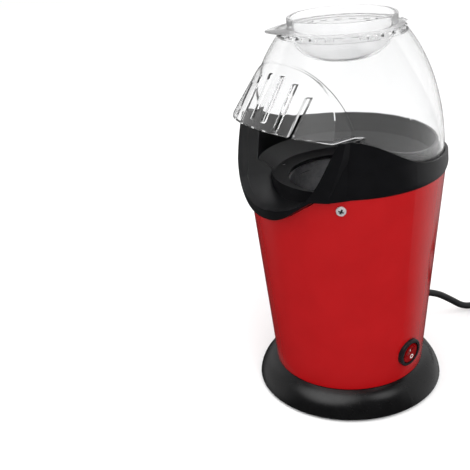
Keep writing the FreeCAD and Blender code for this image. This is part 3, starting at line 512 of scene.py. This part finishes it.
def measuring_cup():
    """Bowl, flange and rim in one moulding, and a stud on the flange's lug."""
    shape = bmesh.new()
    azimuths = [TAB_AZ + 360 * i / CUP_STEPS for i in range(CUP_STEPS)]
    profiles = [cup_profile(flange_radius(azimuth)) for azimuth in azimuths]
    rings = [[cup_point(*point, azimuth) for point, azimuth in zip(ring, azimuths)]
             for ring in zip(*profiles)]
    skin_rings(shape, rings)
    stud = bmesh.new()
    at = cup_point(STUD_AT, SEAT_Z + FLANGE_T - STUD_SUNK, TAB_AZ + 180)
    levels = [(STUD_R, 0.0), (STUD_R, STUD_H * 0.7), (STUD_R * 0.8, STUD_H * 0.95), (STUD_R * 0.3, STUD_H)]
    skin_rings(stud, [[point + at for point in circle(radius, z, 20)] for radius, z in levels])
    finish_piece(new_piece("cup_stud", stud), "cup", "clear_cup")
    finish_piece(new_piece("cup_moulding", shape), "cup", "clear_cup", "measuring_cup")


measuring_cup()


# ---------------------------------------------------------------- plug
# Distance from the cord's entry, half width, half height: a ribbed neck, then the grip.
PLUG_NECK = [(0.0, 0.0046, 0.0043), (0.0012, 0.0052, 0.0047), (0.0035, 0.0056, 0.0048)]
PLUG_GRIP = [(0.0140, 0.0100, 0.0055), (0.0180, 0.0128, 0.0063), (0.0225, 0.0152, 0.0069),
             (0.0260, 0.0158, 0.0069), (0.0330, 0.0166, 0.0069), (0.0352, 0.0165, 0.0068),
             (0.0360, 0.0158, 0.0061)]
RIBS, RIB_START, RIB_STEP, RIB_DEPTH = 4, 0.0006, 0.0022, 0.0007
# Across a groove, the distance from its start and how deep it is there.
GROOVE = ((0.0, 0.0), (0.0003, RIB_DEPTH), (0.0011, RIB_DEPTH), (0.0014, 0.0))
# Half width and half height at the first rib, and what each later rib adds.
RIB_SIZE, RIB_GROWTH = (0.0057, 0.0048), (0.0008, 0.0001)


def superellipse(half_w, half_h, z, power=2.6, count=56):
    """A rounded rectangle's outline at a height."""
    points = []
    for i in range(count):
        angle = 2 * math.pi * i / count
        across, up = math.cos(angle), math.sin(angle)
        x = math.copysign(abs(across) ** (2 / power), across) * half_w
        y = math.copysign(abs(up) ** (2 / power), up) * half_h
        points.append(Vector((x, y, z)))
    return points


def plug_frame():
    """The cord's way into the plug: +Z runs into the plug, towards its pins."""
    end = coil_points()[1]
    along = (ROUTE[-1] - ROUTE[-2]).normalized()
    turn = math.atan2(along.x, -along.y) - math.pi / 2
    return Matrix.Translation(end) @ Matrix.Rotation(turn, 4, "Z") @ Matrix.Rotation(-math.pi / 2, 4, "X")


def moulded_plug():
    """The plug's body: a neck with ribs that flex, swelling to the grip round the pins."""
    sections = list(PLUG_NECK)
    for i in range(RIBS):
        z = PLUG_NECK[-1][0] + RIB_START + i * RIB_STEP
        half_w, half_h = (size + i * growth for size, growth in zip(RIB_SIZE, RIB_GROWTH))
        sections += [(z + along, half_w - cut, half_h - cut) for along, cut in GROOVE]
    sections += PLUG_GRIP
    shape = bmesh.new()
    skin_rings(shape, [superellipse(w, h, z) for z, w, h in sections])
    bmesh.ops.transform(shape, matrix=plug_frame(), verts=shape.verts)
    return finish_piece(new_piece("plug_moulding", shape), "housing", "cord_jacket", "plug_body")


def lay_cord():
    """The cord from the strain relief to the plug, with its coil on the floor behind."""
    coil, plug_entry = coil_points()
    cord = cord_curve("cord", [RELIEF_END, *ROUTE, *coil, plug_entry], CORD_D)
    finish_piece(cord, "housing", "cord_jacket", "cord_tube", "cord_coil", "cord_tail")
    moulded_plug()


lay_cord()

# ---------------------------------------------------------------- stage
FLOOR_WHITE, FLOOR_HALF, FLOOR_DROP = 0.985, 30.0, 0.0003
LIT_POINT = (0, 0, 0.14)


def add_stage():
    """A white floor just under the feet, not mirrored in the gloss."""
    mesh = bpy.data.meshes.new("floor")
    shape = bmesh.new()
    bmesh.ops.create_grid(shape, x_segments=1, y_segments=1, size=FLOOR_HALF)
    shape.to_mesh(mesh)
    shape.free()
    floor = bpy.data.objects.new("floor", mesh)
    floor.location.z = -FLOOR_DROP
    bpy.context.scene.collection.objects.link(floor)
    colour = (FLOOR_WHITE, FLOOR_WHITE, FLOOR_WHITE, 1)
    material = new_material("floor_white", Base_Color=colour, Roughness=0.9, Specular_IOR_Level=0.1)[0]
    mesh.materials.append(material)
    floor.visible_glossy = False


def add_light(name, at, size, watts):
    """Soft panel that lights and casts shadows, and is not mirrored in the gloss."""
    data = bpy.data.lights.new(name, "AREA")
    data.shape = "RECTANGLE"
    data.size, data.size_y = size
    data.energy = watts
    light = bpy.data.objects.new(name, data)
    light.location = at
    light.rotation_euler = (Vector(LIT_POINT) - Vector(at)).to_track_quat("-Z", "Y").to_euler()
    light.visible_glossy = False
    light.visible_camera = False
    light.visible_transmission = False
    bpy.context.scene.collection.objects.link(light)


# What the gloss mirrors: soft bright patches of sky as azimuth from -Y towards +X, elevation, half
# widths of the full and the faded part, in degrees, and brightness.
REFLECTED = [
    (172, 12, 28, 60, 0.55),
    (5, 62, 10, 34, 2.4),
    (115, 58, 4, 16, 2.2),
    (-60, 10, 10, 45, 0.5),
    (240, 35, 15, 50, 0.5),
]
# The sky's brightness between those patches, seen directly or as soft light, and through clear parts.
DIM, WHITE, THROUGH = 0.03, 1.0, 0.8


def patch_of_sky(tree, direction, azimuth, elevation, full, faded, brightness):
    """Its brightness as a node's output, from the direction that a ray leaves in."""
    a, e = math.radians(azimuth), math.radians(elevation)
    dot = tree.nodes.new("ShaderNodeVectorMath")
    dot.operation = "DOT_PRODUCT"
    dot.inputs[1].default_value = (math.sin(a) * math.cos(e), -math.cos(a) * math.cos(e), math.sin(e))
    tree.links.new(direction, dot.inputs[0])
    fade = tree.nodes.new("ShaderNodeMapRange")
    fade.interpolation_type = "SMOOTHSTEP"
    fade.inputs["From Min"].default_value = math.cos(math.radians(faded))
    fade.inputs["From Max"].default_value = math.cos(math.radians(full))
    fade.inputs["To Min"].default_value = 0.0
    fade.inputs["To Max"].default_value = brightness
    tree.links.new(dot.outputs["Value"], fade.inputs["Value"])
    return fade.outputs["Result"]


def add_up(tree, values):
    """The sum of several nodes' outputs."""
    total = values[0]
    for value in values[1:]:
        node = tree.nodes.new("ShaderNodeMath")
        node.operation = "ADD"
        tree.links.new(total, node.inputs[0])
        tree.links.new(value, node.inputs[1])
        total = node.outputs["Value"]
    return total


def blend_by(tree, factor, when_off, when_on):
    """A number that is one value where a ray's factor is 0 and another where it is 1."""
    node = tree.nodes.new("ShaderNodeMix")
    node.data_type = "FLOAT"
    tree.links.new(factor, node.inputs["Factor"])
    for socket, value in zip((node.inputs["A"], node.inputs["B"]), (when_off, when_on)):
        if isinstance(value, float):
            socket.default_value = value
        else:
            tree.links.new(value, socket)
    return node.outputs["Result"]


def add_sky():
    """A white room that lights evenly, shows through clear parts, and is patches in the gloss."""
    world = bpy.data.worlds.new("studio")
    world.use_nodes = True
    tree = world.node_tree
    background = tree.nodes["Background"]
    background.inputs["Color"].default_value = (1, 1, 1, 1)
    rays = tree.nodes.new("ShaderNodeLightPath")
    direction = tree.nodes.new("ShaderNodeTexCoord").outputs["Generated"]
    patches = [patch_of_sky(tree, direction, *patch) for patch in REFLECTED]
    dim = tree.nodes.new("ShaderNodeValue")
    dim.outputs[0].default_value = DIM
    mirrored = add_up(tree, [dim.outputs[0], *patches])
    reflected = blend_by(tree, rays.outputs["Is Glossy Ray"], WHITE, mirrored)
    level = blend_by(tree, rays.outputs["Is Transmission Ray"], reflected, THROUGH)
    tree.links.new(level, background.inputs["Strength"])
    bpy.context.scene.world = world


add_stage()
add_sky()
add_light("soft_right", (1.15, -0.25, 1.25), (1.2, 1.2), 15)
add_light("soft_left", (-0.6, -1.1, 1.0), (1.0, 1.0), 5)
bpy.context.scene.view_settings.view_transform = "Standard"
